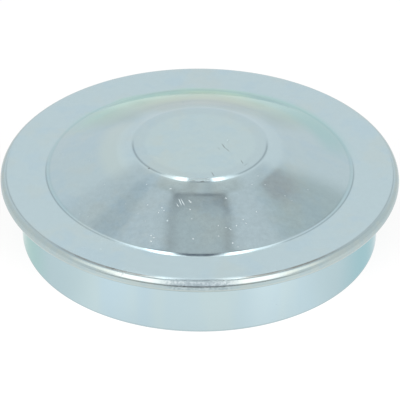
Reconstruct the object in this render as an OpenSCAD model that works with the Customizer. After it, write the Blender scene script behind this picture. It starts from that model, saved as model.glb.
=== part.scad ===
// Hub grease cap: one disc of sheet steel, pressed into a closed cap with a hemmed flange.
// The sheet runs from the closed centre down the cone, out along the flange, back under itself
// at the hem, and down as the skirt that presses into the hub. It is one thickness all the way.
// Z is the cap's axis. Z = 0 is the plane of the skirt's lower edge.

/* [Pilot skirt] */
// Outside diameter of the skirt, which is the size of the hub bore that it presses into
pilot_d = 90; // [80:0.5:130]
// Length of the skirt below the flange's seat
pilot_len = 14.6; // [8:0.1:30]
// Rounding of the sheared lower edge
edge_r = 0.3; // [0.1:0.05:0.35]

/* [Sheet] */
// Thickness of the steel sheet
sheet_t = 1.5; // [0.8:0.1:2]
// Gap that the press leaves between the two layers of the hem
hem_gap = 0.2; // [0.1:0.05:0.6]

/* [Flange] */
// Width of the seat, from the skirt's outside to the outer edge of the hem
seat_w = 5; // [4:0.1:15]
// Radius of the corner where the seat meets the skirt
seat_fillet_r = 0.8; // [0.4:0.1:1.5]
// Width of the flange on its upper side, from the foot of the cone to the outer edge
flange_w = 11.7; // [8:0.1:14]

/* [Cone and closed centre] */
// Diameter of the flat centre
centre_d = 34; // [24:1:40]
// Height of the flat centre above the flange
rise = 7.4; // [4:0.1:10]
// Bend radius at the edge of the flat centre, on its hollow under side
centre_bend_r = 5.5; // [2:0.5:6]
// Bend radius at the foot of the cone, on its hollow upper side
foot_bend_r = 4.5; // [2:0.5:5]

/* [Hidden] */

// Facets round the cap
$fn = 180;
// Largest turn between two points of a bend's outline
arc_step = 7.5;
plating = [0.70, 0.78, 0.80];

pilot_r = pilot_d / 2;
flange_r = pilot_r + seat_w;
hem_r = sheet_t + hem_gap / 2;
seat_z = pilot_len;
flange_z = seat_z + 2 * hem_r;
centre_z = flange_z + rise;
centre_r = centre_d / 2;
foot_r = flange_r - flange_w;

// Slope of the cone below the horizontal
slope = atan2(rise, foot_r - centre_r);

// Centres of the four bends in the (radius, height) plane
centre_bend = [centre_r - (centre_bend_r + sheet_t) * tan(slope / 2),
               centre_z - sheet_t - centre_bend_r];
foot_bend = [foot_r + foot_bend_r * tan(slope / 2), flange_z + foot_bend_r];
hem_bend = [flange_r - hem_r, seat_z + hem_r];
seat_bend = [pilot_r + seat_fillet_r, seat_z - seat_fillet_r];

// The bends in order along the sheet. Each has its centre, the radius of the outer face, the
// radius of the inner face, and the angles that it starts and ends at.
bends = [
    [centre_bend, centre_bend_r + sheet_t, centre_bend_r, 90, 90 - slope],
    [foot_bend, foot_bend_r, foot_bend_r + sheet_t, 270 - slope, 270],
    [hem_bend, hem_r, hem_gap / 2, 90, -90],
    [seat_bend, seat_fillet_r, seat_fillet_r + sheet_t, 90, 180]
];

// Points along an arc, both ends included
function arc(centre, r, from, to) =
    let (steps = ceil(abs(to - from) / arc_step))
    [for (i = [0:steps])
        let (angle = from + (to - from) * i / steps)
        centre + r * [cos(angle), sin(angle)]];

function reversed(points) = [for (i = [len(points) - 1:-1:0]) points[i]];

// The sheet's two faces, from the axis to the lower end of the skirt. The straight runs between
// bends need no points of their own, because each starts and ends at a bend.
outer_face = concat([[0, centre_z]], [for (b = bends) each arc(b[0], b[1], b[3], b[4])]);
inner_face = concat([[0, centre_z - sheet_t]], [for (b = bends) each arc(b[0], b[2], b[3], b[4])]);

// The sheared edge that joins the two faces, with both corners rounded
lower_edge = concat(
    arc([pilot_r - edge_r, edge_r], edge_r, 360, 270),
    arc([pilot_r - sheet_t + edge_r, edge_r], edge_r, 270, 180));

module grease_cap() {
    color(plating)
    rotate_extrude()
    polygon(concat(outer_face, lower_edge, reversed(inner_face)));
}

grease_cap();
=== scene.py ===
import math

import bpy
from mathutils import Matrix, Vector


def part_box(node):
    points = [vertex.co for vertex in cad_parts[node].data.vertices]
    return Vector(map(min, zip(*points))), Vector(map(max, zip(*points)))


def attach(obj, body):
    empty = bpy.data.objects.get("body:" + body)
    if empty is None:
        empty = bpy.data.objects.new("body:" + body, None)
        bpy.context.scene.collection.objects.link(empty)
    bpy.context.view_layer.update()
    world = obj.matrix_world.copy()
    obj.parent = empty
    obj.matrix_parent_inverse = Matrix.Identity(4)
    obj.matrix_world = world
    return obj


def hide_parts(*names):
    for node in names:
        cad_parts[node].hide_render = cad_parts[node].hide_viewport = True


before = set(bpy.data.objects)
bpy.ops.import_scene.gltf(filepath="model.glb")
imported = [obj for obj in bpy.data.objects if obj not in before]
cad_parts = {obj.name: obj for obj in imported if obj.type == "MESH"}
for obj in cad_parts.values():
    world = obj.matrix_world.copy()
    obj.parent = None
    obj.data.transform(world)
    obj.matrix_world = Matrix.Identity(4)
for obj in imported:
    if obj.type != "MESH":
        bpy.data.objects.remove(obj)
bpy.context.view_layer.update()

scene = bpy.context.scene
scene.view_settings.view_transform = "Standard"


# Camera
# A long lens looks down on the cap from in front, a little rolled, and the cap fills the picture's
# width.
camera_at = Vector((0.0, -0.5307, 0.3613))
camera_target = Vector((0.0001, 0.0, 0.00813))
camera_roll = math.radians(0.338)
lens_mm = 226.7
sensor_mm = 36

camera = bpy.data.objects.new("camera", bpy.data.cameras.new("camera"))
camera.data.sensor_width = sensor_mm
camera.data.lens = lens_mm
camera.data.clip_start = 0.01
camera.data.clip_end = 20
looking = (camera_target - camera_at).to_track_quat("-Z", "Y").to_matrix().to_4x4()
camera.matrix_world = Matrix.Translation(camera_at) @ looking @ Matrix.Rotation(camera_roll, 4, "Z")
scene.collection.objects.link(camera)
scene.camera = camera


# Grease cap
# One disc of sheet steel. It is drawn to a shallow cone with a flat centre, its edge is folded back
# under itself in a hem, and the rest is turned down as the skirt that presses into the hub.
mm = 0.001
high_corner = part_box("grease_cap")[1]
rim_r = high_corner.x
centre_z = high_corner.z
sheet = 1.5 * mm
hem_gap = 0.2 * mm
hem_r = sheet + hem_gap / 2
pilot_r = 45 * mm
edge_r = 0.3 * mm
seat_z = 14.6 * mm
seat_corner_r = 0.8 * mm
flange_z = seat_z + 2 * hem_r
foot_r = 38.3 * mm
foot_bend_r = 4.5 * mm
centre_r = 16.7 * mm
centre_bend_r = 4.7 * mm

# The cone is slightly crowned: it gets steeper just outside the flat centre's bend, and again about
# halfway down, in two very wide bends
ease_r = 21.1 * mm
ease_bend_r = 60 * mm
crown_bend_r = 350 * mm
slope_at_centre = math.radians(16.8)
slope_on_cone = math.radians(18.5)
slope_at_foot = math.radians(20.6)
ease_z = centre_z - (ease_r - centre_r) * math.tan(slope_at_centre)
cone_fall = math.tan(slope_on_cone)
foot_fall = math.tan(slope_at_foot)
crown_r = (ease_z - flange_z + ease_r * cone_fall - foot_r * foot_fall) / (cone_fall - foot_fall)
crown_z = ease_z - (crown_r - ease_r) * cone_fall

# Corners of the sheet's outer face from the flat centre to the seat, as (radius, height, bend
# radius, angle that the face has turned through before the corner, the same after it)
outer_corners = (
    (centre_r, centre_z, centre_bend_r + sheet, 0, slope_at_centre),
    (ease_r, ease_z, ease_bend_r, slope_at_centre, slope_on_cone),
    (crown_r, crown_z, crown_bend_r, slope_on_cone, slope_at_foot),
    (foot_r, flange_z, foot_bend_r, slope_at_foot, 0),
    (rim_r, flange_z, hem_r, 0, math.pi / 2),
    (rim_r, seat_z, hem_r, math.pi / 2, math.pi),
    (pilot_r, seat_z, seat_corner_r, math.pi, math.pi / 2),
)

# The inner face is the same line, one sheet's thickness inside it
inner_corners = []
for r, z, bend, before, after in outer_corners:
    middle = (before + after) / 2
    reach = sheet / math.cos((after - before) / 2)
    inner_bend = bend - sheet if after > before else bend + sheet
    inner_corners.append((r - reach * math.sin(middle), z - reach * math.cos(middle), inner_bend))

section_corners = [
    (0, centre_z, 0),
    *(corner[:3] for corner in outer_corners),
    (pilot_r, 0, edge_r),
    (pilot_r - sheet, 0, edge_r),
    *reversed(inner_corners),
    (0, centre_z - sheet, 0),
]
last_outer = len(outer_corners) + 1

# The sweep measures the section outward from the pilot's radius and downward from the floor. Each
# point carries its bend radius, and whether it lies on the hollow side.
section = bpy.data.meshes.new("section")
section.from_pydata(
    [(r - pilot_r, -z, 0) for r, z, bend in section_corners],
    [(i, i + 1) for i in range(len(section_corners) - 1)],
    [],
)
bend_radius = section.attributes.new("bend_radius", "FLOAT", "POINT")
hollow_side = section.attributes.new("hollow_side", "FLOAT", "POINT")
for i, corner in enumerate(section_corners):
    bend_radius.data[i].value = corner[2]
    hollow_side.data[i].value = float(i > last_outer)

# Tree that rounds the section's corners, divides its long runs, turns it round the axis and gives
# the sheet the slight waviness of a pressing
pressing = bpy.data.node_groups.new("pressing", "GeometryNodeTree")
pressing.interface.new_socket("Geometry", in_out="OUTPUT", socket_type="NodeSocketGeometry")
pressing.interface.new_socket("Geometry", in_out="INPUT", socket_type="NodeSocketGeometry")
tree_input = {}
for name, kind in (
    ("Turning radius", "NodeSocketFloat"),
    ("Steps round", "NodeSocketInt"),
    ("Steps in a bend", "NodeSocketInt"),
    ("Longest run", "NodeSocketFloat"),
    ("Waviness", "NodeSocketFloat"),
    ("Finish", "NodeSocketMaterial"),
):
    tree_input[name] = pressing.interface.new_socket(name, in_out="INPUT", socket_type=kind).identifier
given = pressing.nodes.new("NodeGroupInput")
made = pressing.nodes.new("NodeGroupOutput")


def step(tree, kind, settings=None, **wires):
    """Add a node, set its properties, and wire or fill the sockets named in wires."""
    node = tree.nodes.new(kind)
    for name, value in (settings or {}).items():
        setattr(node, name, value)
    for name, value in wires.items():
        socket = node.inputs[int(name[1:])] if name[1:].isdigit() else node.inputs[name.replace("_", " ")]
        if isinstance(value, bpy.types.NodeSocket):
            tree.links.new(value, socket)
        else:
            socket.default_value = value
    return node


def reckon(tree, operation, a, b=0.0):
    """Work out one sum on two values, or on the first alone."""
    return step(tree, "ShaderNodeMath", {"operation": operation}, _0=a, _1=b).outputs[0]


def times(tree, a, b):
    """Multiply two values."""
    return reckon(tree, "MULTIPLY", a, b)


corner_line = step(pressing, "GeometryNodeMeshToCurve", Mesh=given.outputs["Geometry"])
corner_bend = step(pressing, "GeometryNodeInputNamedAttribute", {"data_type": "FLOAT"}, Name="bend_radius")
rounded = step(
    pressing, "GeometryNodeFilletCurve", {"mode": "POLY"},
    Curve=corner_line.outputs["Curve"],
    Count=given.outputs["Steps in a bend"],
    Radius=corner_bend.outputs["Attribute"],
)
here = step(pressing, "GeometryNodeInputPosition").outputs[0]
next_index = reckon(pressing, "ADD", step(pressing, "GeometryNodeInputIndex").outputs[0], 1.0)
next_place = step(
    pressing, "GeometryNodeFieldAtIndex", {"data_type": "FLOAT_VECTOR"}, Value=here, Index=next_index,
)
run_length = step(
    pressing, "ShaderNodeVectorMath", {"operation": "DISTANCE"}, _0=here, _1=next_place.outputs["Value"],
)
divided = step(
    pressing, "GeometryNodeSubdivideCurve",
    Curve=rounded.outputs["Curve"],
    Cuts=reckon(pressing, "DIVIDE", run_length.outputs["Value"], given.outputs["Longest run"]),
)
turning = step(
    pressing, "GeometryNodeCurvePrimitiveCircle",
    Resolution=given.outputs["Steps round"], Radius=given.outputs["Turning radius"],
)
turned = step(
    pressing, "GeometryNodeCurveToMesh",
    Curve=turning.outputs["Curve"], Profile_Curve=divided.outputs["Curve"],
)
closed = step(
    pressing, "GeometryNodeMergeByDistance", Geometry=turned.outputs["Mesh"], Distance=0.002 * mm,
)
ripple = step(pressing, "ShaderNodeTexNoise", Scale=55.0, Detail=1.0, Roughness=0.4).outputs["Fac"]
ripple_height = times(pressing, reckon(pressing, "SUBTRACT", ripple, 0.5), given.outputs["Waviness"])
ripple_lift = step(pressing, "ShaderNodeCombineXYZ", Z=ripple_height)
wavy = step(
    pressing, "GeometryNodeSetPosition",
    Geometry=closed.outputs["Geometry"], Offset=ripple_lift.outputs[0],
)
smooth = step(pressing, "GeometryNodeSetShadeSmooth", Geometry=wavy.outputs["Geometry"])
solid = step(pressing, "GeometryNodeRealizeInstances", Geometry=smooth.outputs["Geometry"])
finished = step(
    pressing, "GeometryNodeSetMaterial",
    Geometry=solid.outputs["Geometry"], Material=given.outputs["Finish"],
)
pressing.links.new(finished.outputs["Geometry"], made.inputs["Geometry"])

# Zinc plate
# Bright zinc with a thin blue passivate. Where that film is thicker, on the far side of the cone and at the
# skirt's two ends, it shows rose, straw, green and teal. Handling has left fine marks. Some light and shade
# is painted into the colour as well: a highlight on the far side of the cone, dark lines on the bends and the
# hem's crest, and shade on the skirt.
plate = bpy.data.materials.new("zinc_plate")
plate.use_nodes = True
nodes = plate.node_tree
surface = nodes.nodes["Principled BSDF"]
surface.inputs["Metallic"].default_value = 1.0
surface.inputs["Specular Tint"].default_value = (0.92, 0.93, 0.94, 1)

# Where a spot of metal lies: its height, its radius, and the way it faces from the axis. That way
# is -1 to +1 from left to right, and -1 to +1 from front to back.
place = step(nodes, "ShaderNodeTexCoord").outputs["Object"]
place_axis = step(nodes, "ShaderNodeSeparateXYZ", Vector=place)
height = place_axis.outputs["Z"]
flat_place = step(nodes, "ShaderNodeVectorMath", {"operation": "MULTIPLY"}, _0=place, _1=(1, 1, 0)).outputs[0]
radius = step(nodes, "ShaderNodeVectorMath", {"operation": "LENGTH"}, _0=flat_place).outputs["Value"]
facing = step(nodes, "ShaderNodeVectorMath", {"operation": "NORMALIZE"}, _0=flat_place).outputs[0]
facing_axis = step(nodes, "ShaderNodeSeparateXYZ", Vector=facing)
facing_right = facing_axis.outputs["X"]
facing_back = facing_axis.outputs["Y"]


def ramp(tree, value, start, end, to_start=0.0, to_end=1.0):
    """Ease from one value to another as the input goes from start to end."""
    eased = step(
        tree, "ShaderNodeMapRange", {"interpolation_type": "SMOOTHSTEP"},
        Value=value, From_Min=start, From_Max=end, To_Min=to_start, To_Max=to_end,
    )
    return eased.outputs["Result"]


def window(tree, value, low, high, soft, strength=1.0):
    """Full strength between low and high, fading to nothing over the soft width on each side."""
    rise = ramp(tree, value, low - soft, low + soft)
    fall = ramp(tree, value, high - soft, high + soft, strength, 0.0)
    return times(tree, rise, fall)


def blend(tree, amount, under, over, mode="MIX"):
    """Lay one colour over another."""
    mixed = tree.nodes.new("ShaderNodeMix")
    mixed.data_type = "RGBA"
    mixed.blend_type = mode
    for socket, value in ((mixed.inputs[0], amount), (mixed.inputs[6], under), (mixed.inputs[7], over)):
        if isinstance(value, bpy.types.NodeSocket):
            tree.links.new(value, socket)
        else:
            socket.default_value = value if isinstance(value, float) else (*value, 1)
    return mixed.outputs[2]


def noise(scale, detail, roughness=0.5, vector=place):
    """Noise over the metal, with that many lumps to the metre."""
    lumps = step(
        nodes, "ShaderNodeTexNoise", Vector=vector, Scale=scale, Detail=detail, Roughness=roughness,
    )
    return lumps.outputs["Fac"]


# Cloudy patches of the passivate, a little straw here and a little blue there
zinc_blue = (0.479, 0.600, 0.640)
straw_cloud = (0.496, 0.594, 0.606)
blue_cloud = (0.452, 0.586, 0.652)
straw_amount = ramp(nodes, noise(75.0, 3.0, 0.6), 0.48, 0.66, to_end=0.7)
blue_amount = ramp(nodes, noise(130.0, 3.0, 0.6), 0.50, 0.66, to_end=0.6)
colour = blend(nodes, straw_amount, zinc_blue, straw_cloud)
colour = blend(nodes, blue_amount, colour, blue_cloud)

# A fine mottle all over, which is plainer to see on the front of the cone
even_mottle = 0.06
cone_mottle = 0.20
worn_cone = times(
    nodes,
    window(nodes, radius, 19 * mm, 38 * mm, 1 * mm),
    ramp(nodes, facing_back, -0.2, -0.8),
)
mottle_depth = reckon(nodes, "ADD", even_mottle, times(nodes, worn_cone, cone_mottle))
mottle = reckon(nodes, "SUBTRACT", noise(650.0, 3.0, 0.7), 0.5)
mottled = reckon(nodes, "ADD", 1.0, times(nodes, mottle, mottle_depth))
mottled_grey = step(nodes, "ShaderNodeCombineColor", _0=mottled, _1=mottled, _2=mottled)
colour = blend(nodes, 1.0, colour, mottled_grey.outputs[0], "MULTIPLY")

# Film colours on the cone, as (share of the rim's radius, tint). They run from rose by straw to
# green at the foot. They are strongest on the far side, and plainer on both sides of it.
side_stops = (
    (0.340, (1.00, 1.00, 1.00)),
    (0.400, (0.90, 0.92, 0.91)),
    (0.440, (0.84, 0.88, 0.85)),
    (0.480, (0.81, 0.84, 0.79)),
    (0.560, (0.84, 0.90, 0.80)),
    (0.640, (0.83, 0.94, 0.81)),
    (0.700, (0.85, 1.03, 0.87)),
    (0.740, (0.86, 1.01, 0.92)),
    (0.785, (1.00, 1.00, 1.00)),
)
far_stops = (
    (0.335, (1.00, 1.00, 1.00)),
    (0.360, (0.80, 0.85, 0.82)),
    (0.400, (0.79, 0.80, 0.77)),
    (0.480, (0.69, 0.71, 0.65)),
    (0.540, (0.80, 0.82, 0.66)),
    (0.600, (0.82, 0.90, 0.72)),
    (0.660, (0.94, 1.09, 0.87)),
    (0.700, (1.04, 1.27, 1.00)),
    (0.740, (1.04, 1.27, 1.03)),
    (0.762, (0.91, 1.05, 0.92)),
    (0.785, (1.00, 1.00, 1.00)),
)


def banded(stops, along):
    """Colours that run on from one stop to the next."""
    bands = step(nodes, "ShaderNodeValToRGB", Fac=along)
    while len(bands.color_ramp.elements) < len(stops):
        bands.color_ramp.elements.new(0.5)
    for element, (stop, tint) in zip(bands.color_ramp.elements, stops):
        element.position = stop
        element.color = (*tint, 1)
    return bands.outputs["Color"]


no_tint = (1.0, 1.0, 1.0)
film_wander = 0.012
rim_share = reckon(nodes, "DIVIDE", radius, rim_r)
film_shift = ramp(nodes, noise(55.0, 2.0), 0.3, 0.7, -film_wander, film_wander)
film_place = reckon(nodes, "ADD", rim_share, film_shift)
film = blend(nodes, ramp(nodes, facing_back, 0.30, 0.72), no_tint, banded(side_stops, film_place))
film = blend(nodes, ramp(nodes, facing_back, 0.72, 0.985), film, banded(far_stops, film_place))
colour = blend(nodes, 1.0, colour, film, "MULTIPLY")


def toward(way):
    """One where the metal faces that way from the axis, and less the further it turns from it."""
    return step(
        nodes, "ShaderNodeVectorMath", {"operation": "DOT_PRODUCT"}, _0=facing, _1=way,
    ).outputs["Value"]


# On the far side a painted warm highlight in the straw band, brighter than the metal's own colour, and a
# darker streak on each side of it
highlight_way = (0.139, 0.990, 0)
painted_highlight_tint = (1.25, 1.15, 1.01)
streak_tint = (0.86, 0.91, 0.89)
# Painted highlight: the tint lifts the colour above the metal's own here
painted_warm_highlight = times(
    nodes,
    window(nodes, radius, 32.0 * mm, 36.0 * mm, 1.5 * mm),
    ramp(nodes, toward(highlight_way), 0.945, 0.993),
)
darker_streak = times(
    nodes,
    window(nodes, radius, 28.5 * mm, 33.5 * mm, 2.0 * mm),
    window(nodes, facing_back, 0.83, 0.90, 0.05),
)
# Lay the painted highlight, then the darker streaks
colour = blend(nodes, painted_warm_highlight, colour, painted_highlight_tint, "MULTIPLY")
colour = blend(nodes, darker_streak, colour, streak_tint, "MULTIPLY")

# A teal stain at the cone's foot, to the right and behind
stain_way = (0.766, 0.643, 0)
stain_teal = (0.345, 0.560, 0.570)
teal_stain = times(
    nodes,
    window(nodes, radius, 31.5 * mm, 38.4 * mm, 2.5 * mm),
    ramp(nodes, toward(stain_way), 0.78, 0.97, to_end=0.75),
)
colour = blend(nodes, teal_stain, colour, stain_teal)

# A straw tinge on the inner cone, to the left
pale_straw = (0.525, 0.635, 0.640)
straw_tinge = times(
    nodes,
    window(nodes, radius, 20 * mm, 25 * mm, 2.0 * mm),
    ramp(nodes, facing_right, -0.75, -0.95, to_end=0.9),
)
colour = blend(nodes, straw_tinge, colour, pale_straw)

# Painted shade: a darker line along the crease at the cone's foot, all round but at the front
crease_shade_tint = (0.87, 0.92, 0.92)
painted_crease_shade = times(
    nodes,
    window(nodes, radius, 37.6 * mm, 38.5 * mm, 0.35 * mm),
    ramp(nodes, facing_back, -0.75, -0.45),
)
colour = blend(nodes, painted_crease_shade, colour, crease_shade_tint, "MULTIPLY")

# Edge of the flat centre: a slightly darker band inside it, and on its bend a fine painted dark line that
# stands in for a dark reflection, as (share of the rim's radius, tint)
edge_band_and_painted_line_stops = (
    (0.000, (1.00, 0.995, 0.97)),
    (0.264, (1.00, 0.995, 0.97)),
    (0.286, (0.96, 0.955, 0.945)),
    (0.314, (0.96, 0.955, 0.945)),
    (0.328, (0.95, 0.95, 0.95)),
    (0.336, (0.95, 0.95, 0.95)),
    (0.350, (1.00, 1.00, 1.00)),
)
colour = blend(nodes, 1.0, colour, banded(edge_band_and_painted_line_stops, rim_share), "MULTIPLY")

# Skirt, a shade bluer, in faint upright streaks, with teal at its left and right ends and painted shade
# darkening it towards both sides. One pale streak stands right of the middle, and the bottom edge is painted
# darker, a painted shade where it meets the table.
skirt_blue = (0.462, 0.596, 0.655)
skirt_pale = (0.498, 0.618, 0.640)
skirt_side_shade = (0.435, 0.575, 0.615)
left_teal = (0.270, 0.535, 0.495)
right_teal = (0.220, 0.490, 0.540)
streak_pale = (0.530, 0.660, 0.700)
bottom_shade_grey = (0.415, 0.515, 0.540)
on_skirt = ramp(nodes, height, seat_z - 0.5 * mm, seat_z + 0.3 * mm, 1.0, 0.0)
upright = step(nodes, "ShaderNodeMapping", Vector=place, Scale=(1.0, 1.0, 0.25)).outputs[0]
streaks = noise(90.0, 2.0, vector=upright)
sideways = reckon(nodes, "ABSOLUTE", facing_right)
not_behind = ramp(nodes, facing_back, 0.30, -0.10)
left_end = times(nodes, ramp(nodes, facing_right, -0.79, -0.99), not_behind)
right_end = times(nodes, ramp(nodes, facing_right, 0.73, 0.99), not_behind)
light_streak = window(nodes, facing_right, 0.25, 0.42, 0.08, strength=0.7)
# Painted shade: the bottom edge is made darker where it meets the table
painted_bottom_shade = ramp(nodes, height, 0.25 * mm, 0.75 * mm, 0.8, 0.0)
skirt_colour = blend(nodes, ramp(nodes, streaks, 0.35, 0.65), skirt_blue, skirt_pale)
# Painted shade: darker towards the skirt's left and right sides
skirt_colour = blend(nodes, ramp(nodes, sideways, 0.45, 0.85), skirt_colour, skirt_side_shade)
skirt_colour = blend(nodes, left_end, skirt_colour, left_teal)
skirt_colour = blend(nodes, right_end, skirt_colour, right_teal)
skirt_colour = blend(nodes, light_streak, skirt_colour, streak_pale)
skirt_colour = blend(nodes, painted_bottom_shade, skirt_colour, bottom_shade_grey)
colour = blend(nodes, on_skirt, colour, skirt_colour)

# Hem, browner on its outer face where the zinc is worn, scuffed at the very front, and
# straw-coloured underneath
worn_grey = (0.425, 0.525, 0.545)
worn_brown = (0.455, 0.538, 0.535)
scuff_dark = (0.365, 0.455, 0.480)
scuff_light = (0.470, 0.565, 0.590)
hem_straw = (0.495, 0.575, 0.560)
worn = ramp(nodes, radius, rim_r - 1.3 * mm, rim_r - 0.7 * mm)
hem_streaks = noise(420.0, 2.0, vector=upright)
hem_front = ramp(nodes, facing_back, -0.982, -0.994)
worn_colour = blend(nodes, ramp(nodes, hem_streaks, 0.35, 0.65), worn_grey, worn_brown)
scuffed_colour = blend(nodes, ramp(nodes, noise(1500.0, 2.0), 0.42, 0.60), scuff_dark, scuff_light)
worn_colour = blend(nodes, hem_front, worn_colour, scuffed_colour)
under_hem = times(
    nodes,
    window(nodes, height, seat_z - 0.1 * mm, seat_z + 1.2 * mm, 0.2 * mm),
    ramp(nodes, radius, pilot_r + 0.6 * mm, pilot_r + 1.2 * mm),
)
colour = blend(nodes, worn, colour, worn_colour)
colour = blend(nodes, under_hem, colour, hem_straw)

# A fine brown line is painted along the hem's crest, a painted dark reflection above its highlight. The line
# is faint behind, at both sides and at the very front. A short stretch at the front of the centre's bend is
# rubbed rough, and also painted darker as a dim painted reflection.
painted_crest_brown = (0.200, 0.200, 0.182)
painted_dim_grey = (0.420, 0.515, 0.535)
# Painted dark reflection along the hem's crest
crest_painted_dark_line = window(nodes, radius, rim_r - 1.75 * mm, rim_r - 1.15 * mm, 0.15 * mm)
for wear in (
    ramp(nodes, hem_streaks, 0.30, 0.60, 0.60, 0.85),
    ramp(nodes, facing_back, 0.30, -0.40),
    ramp(nodes, facing_back, -0.65, -0.90, 0.20, 1.0),
    ramp(nodes, facing_back, -0.965, -0.992, 1.0, 0.25),
):
    crest_painted_dark_line = times(nodes, crest_painted_dark_line, wear)
# Rubbed rough, and painted darker as a dim reflection, at the front of the centre's bend
rubbed_and_painted_dim = times(
    nodes,
    window(nodes, radius, 15.9 * mm, 17.3 * mm, 0.2 * mm),
    ramp(nodes, facing_back, -0.978, -0.994),
)
colour = blend(nodes, crest_painted_dark_line, colour, painted_crest_brown)
colour = blend(nodes, rubbed_and_painted_dim, colour, painted_dim_grey)

# Scratches and knocks, and two painted dark dashes at the front of the centre's bend that stand in for a dark
# reflection, each a long thin spot with its middle, length and width in millimetres and its turn in degrees
scratches_and_painted_dark_line = (
    ((5.9, -1.4, 25.2), 2.7, 0.32, -70),
    ((6.8, -3.0, 25.2), 2.4, 0.22, -59),
    ((4.7, -2.5, 25.2), 1.6, 0.12, -62),
    ((3.2, -14.2, 25.2), 2.6, 0.26, -71),
    ((10.4, -8.6, 25.2), 2.2, 0.24, -73),
    ((11.3, -9.8, 25.2), 1.8, 0.12, 51),
    ((-12.5, -11.6, 25.1), 0.7, 0.5, 30),
    ((-20.4, -44.0, 17.7), 0.9, 0.5, 20),
    # These two are painted shade: a dark line at the front of the centre's bend
    ((-1.5, -16.9, 25.1), 1.0, 0.30, 2),
    ((0.8, -17.2, 25.0), 1.2, 0.28, -3),
)
bright_marks = (
    ((-4.7, -23.3, 22.9), 2.7, 0.28, -70),
    ((-4.1, -23.3, 22.9), 2.8, 0.28, -65),
    ((-2.3, -23.2, 23.0), 1.6, 0.36, -50),
    ((-5.3, -24.2, 22.5), 1.4, 0.24, -64),
    ((-18.0, -45.8, 17.0), 1.4, 0.9, 20),
    ((-7.1, -19.1, 24.0), 0.8, 0.3, -10),
    ((-9.1, -24.6, 22.0), 0.5, 0.4, 0),
    ((6.4, -21.9, 23.2), 0.6, 0.3, 10),
    ((13.8, -24.9, 21.2), 0.4, 0.4, 0),
    ((10.5, -27.7, 20.8), 0.5, 0.4, 20),
    ((8.9, -29.6, 20.4), 0.5, 0.4, 0),
    ((-1.5, -33.8, 19.4), 0.4, 0.4, 0),
    ((8.0, -34.6, 18.8), 0.4, 0.5, 0),
    ((-11.6, -33.9, 18.7), 0.5, 0.5, 0),
    ((-11.6, -32.3, 19.2), 0.5, 0.5, 0),
    ((-10.9, -33.0, 19.0), 0.7, 0.3, 0),
    ((-12.6, -23.2, 21.9), 0.5, 0.4, 0),
    ((-2.3, -25.5, 22.2), 0.5, 0.3, 0),
    ((-8.6, -25.4, 21.8), 0.4, 0.4, 0),
)
mark_depth = 1.5 * mm


def marked(marks):
    """One on the marks and nothing elsewhere."""
    total = 0.0
    for middle, length, width, turn in marks:
        laid = step(
            nodes, "ShaderNodeMapping", {"vector_type": "TEXTURE"}, Vector=place,
            Location=[c * mm for c in middle],
            Rotation=(0, 0, math.radians(turn)),
            Scale=(length / 2 * mm, width / 2 * mm, mark_depth),
        )
        away = step(nodes, "ShaderNodeVectorMath", {"operation": "LENGTH"}, _0=laid.outputs[0])
        total = reckon(nodes, "MAXIMUM", total, ramp(nodes, away.outputs["Value"], 0.5, 1.1, 1.0, 0.0))
    return total


# The dark marks hold scratches and the painted dark dashes on the centre's bend
scratch_and_line_dark = (0.12, 0.13, 0.12)
dark_mark_strength = 0.55
bright = marked(bright_marks)
colour = blend(nodes, times(nodes, marked(scratches_and_painted_dark_line), dark_mark_strength), colour, scratch_and_line_dark)


# Fine pits all over, and finer bright specks on the front of the cone, most of them to the left and
# right of its middle. Both are at random.
def dots(per_metre, full, gone):
    """One dot in each cell of a scatter, with a number for each cell by which to choose it."""
    cells = step(nodes, "ShaderNodeTexVoronoi", Vector=place, Scale=per_metre, Randomness=1.0)
    choice = step(nodes, "ShaderNodeSeparateColor", Color=cells.outputs["Color"]).outputs[0]
    return ramp(nodes, cells.outputs["Distance"], full, gone, 1.0, 0.0), choice


bare_zinc = (0.740, 0.810, 0.830)
bare_strength = 0.4
pit, pit_choice = dots(260.0, 0.035, 0.08)
pitted = times(nodes, pit, ramp(nodes, pit_choice, 0.78, 0.80))
speck, speck_choice = dots(620.0, 0.04, 0.14)
beside_middle = reckon(nodes, "ABSOLUTE", place_axis.outputs["X"])
more_specks = window(nodes, beside_middle, 4.5 * mm, 12 * mm, 2 * mm, strength=0.14)
speck_chance = reckon(nodes, "ADD", speck_choice, more_specks)
specked = times(nodes, speck, times(nodes, ramp(nodes, speck_chance, 0.72, 0.84), worn_cone))
bright_spots = reckon(nodes, "MAXIMUM", bright, specked)
colour = blend(nodes, times(nodes, bright_spots, bare_strength), colour, bare_zinc)

# The hollow side never sees a polish: it is darker, satin, and drawn in faint streaks
satin_dark = (0.345, 0.430, 0.445)
satin_light = (0.405, 0.480, 0.475)
inside = step(nodes, "ShaderNodeAttribute", {"attribute_name": "hollow_side"}).outputs["Fac"]
draw_way = step(nodes, "ShaderNodeVectorMath", {"operation": "MULTIPLY"}, _0=place, _1=(1, 1, 0.12))
draw_streaks = noise(210.0, 3.0, vector=draw_way.outputs[0])
satin = blend(nodes, ramp(nodes, draw_streaks, 0.35, 0.65), satin_dark, satin_light)
colour = blend(nodes, inside, colour, satin)

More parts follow.
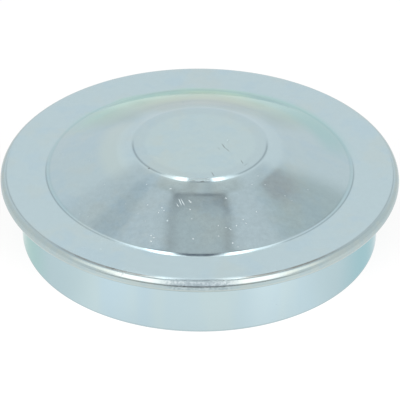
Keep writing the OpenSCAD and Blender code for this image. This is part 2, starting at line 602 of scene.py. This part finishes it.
# Gloss: bright with a slight haze, duller on the hem's outer face, the rubbed stretch, the pits and
# specks, and the hollow side
hem_rough = 0.17
scuff_rough = 0.09
rubbed_rough = 0.40
spot_rough = 0.5
satin_rough = 0.30
spots = reckon(nodes, "MAXIMUM", bright_spots, pitted)
hem_haze = times(
    nodes,
    ramp(nodes, radius, rim_r - 1.55 * mm, rim_r - 1.25 * mm),
    reckon(nodes, "ADD", hem_rough, times(nodes, hem_front, scuff_rough)),
)
roughness = ramp(nodes, noise(160.0, 3.0), 0.3, 0.7, 0.06, 0.11)
for duller in (
    times(nodes, spots, spot_rough),
    times(nodes, rubbed_and_painted_dim, rubbed_rough),
    hem_haze,
    times(nodes, inside, satin_rough),
):
    roughness = reckon(nodes, "MAXIMUM", roughness, duller)

# Relief: a fine grain, deeper where the hem is worn, and the pits
even_grain = 0.10
worn_grain = 0.5
pit_depth = 1.5
grain_depth = reckon(nodes, "ADD", even_grain, times(nodes, worn, worn_grain))
grain = times(nodes, noise(1300.0, 2.0), grain_depth)
relief_height = reckon(nodes, "SUBTRACT", grain, times(nodes, pitted, pit_depth))
relief = step(nodes, "ShaderNodeBump", Strength=0.6, Distance=0.02 * mm, Height=relief_height)
nodes.links.new(colour, surface.inputs["Base Color"])
nodes.links.new(roughness, surface.inputs["Roughness"])
nodes.links.new(relief.outputs["Normal"], surface.inputs["Normal"])

cap_shape = bpy.data.objects.new("cap_shape", section)
scene.collection.objects.link(cap_shape)
press = cap_shape.modifiers.new("press", "NODES")
press.node_group = pressing
press[tree_input["Turning radius"]] = pilot_r
press[tree_input["Steps round"]] = 360
press[tree_input["Steps in a bend"]] = 10
press[tree_input["Longest run"]] = 1.2 * mm
press[tree_input["Waviness"]] = 0.02 * mm
press[tree_input["Finish"]] = plate
evaluated = cap_shape.evaluated_get(bpy.context.evaluated_depsgraph_get())
cap = bpy.data.objects.new("pressed_cap", bpy.data.meshes.new_from_object(evaluated))
scene.collection.objects.link(cap)
bpy.data.objects.remove(cap_shape)
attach(cap, "root")
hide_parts("grease_cap")


# Table
# A matt white sheet under the cap, which keeps its shadow. It glows near white where it is seen or
# mirrored. From below it is clear, so that the hollow side can be looked into.
table_half = 0.6
table_white = (0.9, 0.9, 0.9, 1)
glow_share = 0.86
table = bpy.data.meshes.new("table")
table.from_pydata(
    [(-table_half, -table_half, 0), (table_half, -table_half, 0), (table_half, table_half, 0),
     (-table_half, table_half, 0)],
    [],
    [(0, 1, 2, 3)],
)
floor = bpy.data.objects.new("table", table)
scene.collection.objects.link(floor)
white = bpy.data.materials.new("white_table")
white.use_nodes = True
white_nodes = white.node_tree
paper = white_nodes.nodes["Principled BSDF"]
paper.inputs["Base Color"].default_value = table_white
paper.inputs["Roughness"].default_value = 1.0
paper.inputs["Specular IOR Level"].default_value = 0.0

# The glow is stronger in front of the cap, and stronger still in a pool on each side of the camera
front_glow = 1.12
back_glow = 1.0
pool_glow = 0.08
table_place = step(white_nodes, "ShaderNodeTexCoord").outputs["Object"]
table_axis = step(white_nodes, "ShaderNodeSeparateXYZ", Vector=table_place)
glow = ramp(white_nodes, table_axis.outputs["Y"], -0.06, 0.01, front_glow, back_glow)
table_front = times(white_nodes, table_axis.outputs["Y"], -1.0)
table_swing = reckon(white_nodes, "ARCTAN2", table_axis.outputs["X"], table_front)
table_swing = reckon(white_nodes, "ABSOLUTE", table_swing)
pool = window(
    white_nodes, table_swing, math.radians(24), math.radians(44), math.radians(9), strength=pool_glow,
)
glow = reckon(white_nodes, "ADD", glow, pool)
glowing = step(white_nodes, "ShaderNodeEmission", Color=(1, 1, 1, 1), Strength=glow)
ray = step(white_nodes, "ShaderNodeLightPath")
mirrored = reckon(white_nodes, "MAXIMUM", ray.outputs["Is Glossy Ray"], ray.outputs["Is Transmission Ray"])
seen = reckon(white_nodes, "MAXIMUM", ray.outputs["Is Camera Ray"], mirrored)
shown = step(
    white_nodes, "ShaderNodeMixShader",
    _0=times(white_nodes, seen, glow_share), _1=paper.outputs["BSDF"], _2=glowing.outputs[0],
)
underneath = step(white_nodes, "ShaderNodeNewGeometry").outputs["Backfacing"]
clear = step(white_nodes, "ShaderNodeBsdfTransparent")
one_sided = step(
    white_nodes, "ShaderNodeMixShader", _0=underneath, _1=shown.outputs[0], _2=clear.outputs[0],
)
white_nodes.links.new(one_sided.outputs[0], white_nodes.nodes["Material Output"].inputs["Surface"])
table.materials.append(white)


# Surround
# The white tent that the metal mirrors. It is greyer overhead, with a darker window and two hanging
# flags. Bright lamps stand to the left and right of the axis, behind and in front, round a dark gap.
surround = bpy.data.worlds.new("surround")
surround.use_nodes = True
sky = surround.node_tree
sky_way = step(sky, "ShaderNodeTexCoord").outputs["Generated"]

# It is laid out by the metal that shows it from in front: lean is how many degrees that metal tips
# from level, and swing is how many it faces round from the front, to the right positive
front_way = (0.0, -0.838, 0.545)
halfway = step(sky, "ShaderNodeVectorMath", {"operation": "ADD"}, _0=sky_way, _1=front_way)
halfway = step(sky, "ShaderNodeVectorMath", {"operation": "NORMALIZE"}, _0=halfway.outputs[0])
half_axis = step(sky, "ShaderNodeSeparateXYZ", Vector=halfway.outputs[0])
lean = reckon(sky, "DEGREES", reckon(sky, "ARCCOSINE", half_axis.outputs["Z"]))
half_front = times(sky, half_axis.outputs["Y"], -1.0)
swing = reckon(sky, "DEGREES", reckon(sky, "ARCTAN2", half_axis.outputs["X"], half_front))
both = reckon(sky, "ABSOLUTE", swing)

# The window's sides close in by 1.9 degrees of swing for each degree of lean, so they show nearly
# straight on the cone. Its top edge is straight, so it shows a little lower towards its ends.
window_lean = 19.1
side_slant = 1.9
bow_swing = 22.0
slanted = times(sky, reckon(sky, "SUBTRACT", lean, window_lean), side_slant)
window_side = reckon(sky, "ADD", both, slanted)
bow = reckon(sky, "POWER", reckon(sky, "DIVIDE", both, bow_swing), 2.0)
straight = reckon(sky, "SUBTRACT", lean, bow)


def flag(swing_mid, swing_half, lean_mid, lean_half):
    """One inside an oval flag that hangs in the surround, fading at its edge."""
    aside = reckon(sky, "DIVIDE", reckon(sky, "SUBTRACT", swing, swing_mid), swing_half)
    along = reckon(sky, "DIVIDE", reckon(sky, "SUBTRACT", lean, lean_mid), lean_half)
    squares = reckon(sky, "ADD", times(sky, aside, aside), times(sky, along, along))
    return ramp(sky, reckon(sky, "SQRT", squares), 0.60, 1.20, 1.0, 0.0)


def panel(aside, side_low, side_high, side_soft, along, low_edge, high_edge, edge_soft):
    """One on a panel of the surround, fading at its sides and at its edges."""
    return times(
        sky,
        window(sky, aside, side_low, side_high, side_soft),
        window(sky, along, low_edge, high_edge, edge_soft),
    )


# Each part with its place and its tone, laid one over the other. A low limit of -10 takes in the
# middle.
surround_parts = {
    "side ceiling": (panel(both, -10, 132, 14, lean, 18.8, 60, 0.7), (0.93, 0.93, 0.93)),
    "ceiling": (panel(both, -10, 62, 9, lean, 16.8, 24, 0.8), (0.84, 0.84, 0.85)),
    "lintel": (panel(both, 1, 34, 7, lean, 16.2, 18.2, 0.8), (0.73, 0.72, 0.70)),
    "left flag": (panel(swing, -58, -38, 11, lean, 17.8, 24, 1.2), (0.80, 0.81, 0.82)),
    "left flag edge": (flag(-41, 7.5, 22.5, 5.4), (0.69, 0.72, 0.75)),
    "right flag": (flag(54, 22.5, 22.7, 5.0), (0.70, 0.72, 0.71)),
    "right flag top": (flag(55, 13, 19.6, 1.1), (0.63, 0.60, 0.59)),
    "window": (panel(window_side, -20, 16.0, 1.8, straight, 17.9, 24, 0.4), (0.71, 0.72, 0.72)),
    "window sides": (panel(window_side, 14.0, 18.4, 2.6, straight, 16.6, 24, 0.5), (0.60, 0.60, 0.60)),
    "window top": (panel(both, -10, 17, 2.0, straight, 17.6, 18.6, 0.4), (0.36, 0.36, 0.37)),
    "shelf": (panel(both, 26, 92, 8, lean, 8, 12, 1.5), (0.66, 0.67, 0.68)),
    "lamp wings": (panel(both, 20, 34, 6, lean, 7, 15.5, 2.0), (1.5, 1.5, 1.5)),
    "lamps": (panel(both, 11.3, 22, 1.6, lean, 3.2, 15.3, 1.2), (3.2, 3.2, 3.2)),
    "lamp gap": (panel(both, -10, 9.6, 1.2, lean, 3.5, 15.8, 0.7), (0.45, 0.46, 0.48)),
    "deep gap": (panel(both, -10, 9.8, 1.0, lean, 6.5, 15.8, 0.7), (0.21, 0.22, 0.25)),
    "front lamp wings": (panel(both, 16, 36, 7, lean, 28, 50, 6), (1.7, 1.6, 1.5)),
    "front lamps": (panel(both, 9.5, 25, 4, lean, 24.5, 60, 1.5), (2.4, 2.15, 2.05)),
    "front gap": (panel(both, -10, 7.5, 1.5, lean, 24.5, 64, 1.5), (1.02, 1.00, 1.05)),
    "table edge": (panel(both, -10, 28, 12, lean, 66, 74, 3), (0.50, 0.47, 0.45)),
    "dark doorway": (panel(both, -10, 8, 2, lean, 64, 78, 3), (0.12, 0.11, 0.11)),
}
tent_white = (1.0, 1.0, 1.0)
sky_colour = tent_white
for where, tone in surround_parts.values():
    sky_colour = blend(sky, where, sky_colour, tone)
sky_ray = step(sky, "ShaderNodeLightPath")
sky_colour = blend(sky, sky_ray.outputs["Is Camera Ray"], sky_colour, tent_white)
sky.links.new(sky_colour, sky.nodes["Background"].inputs["Color"])
scene.world = surround
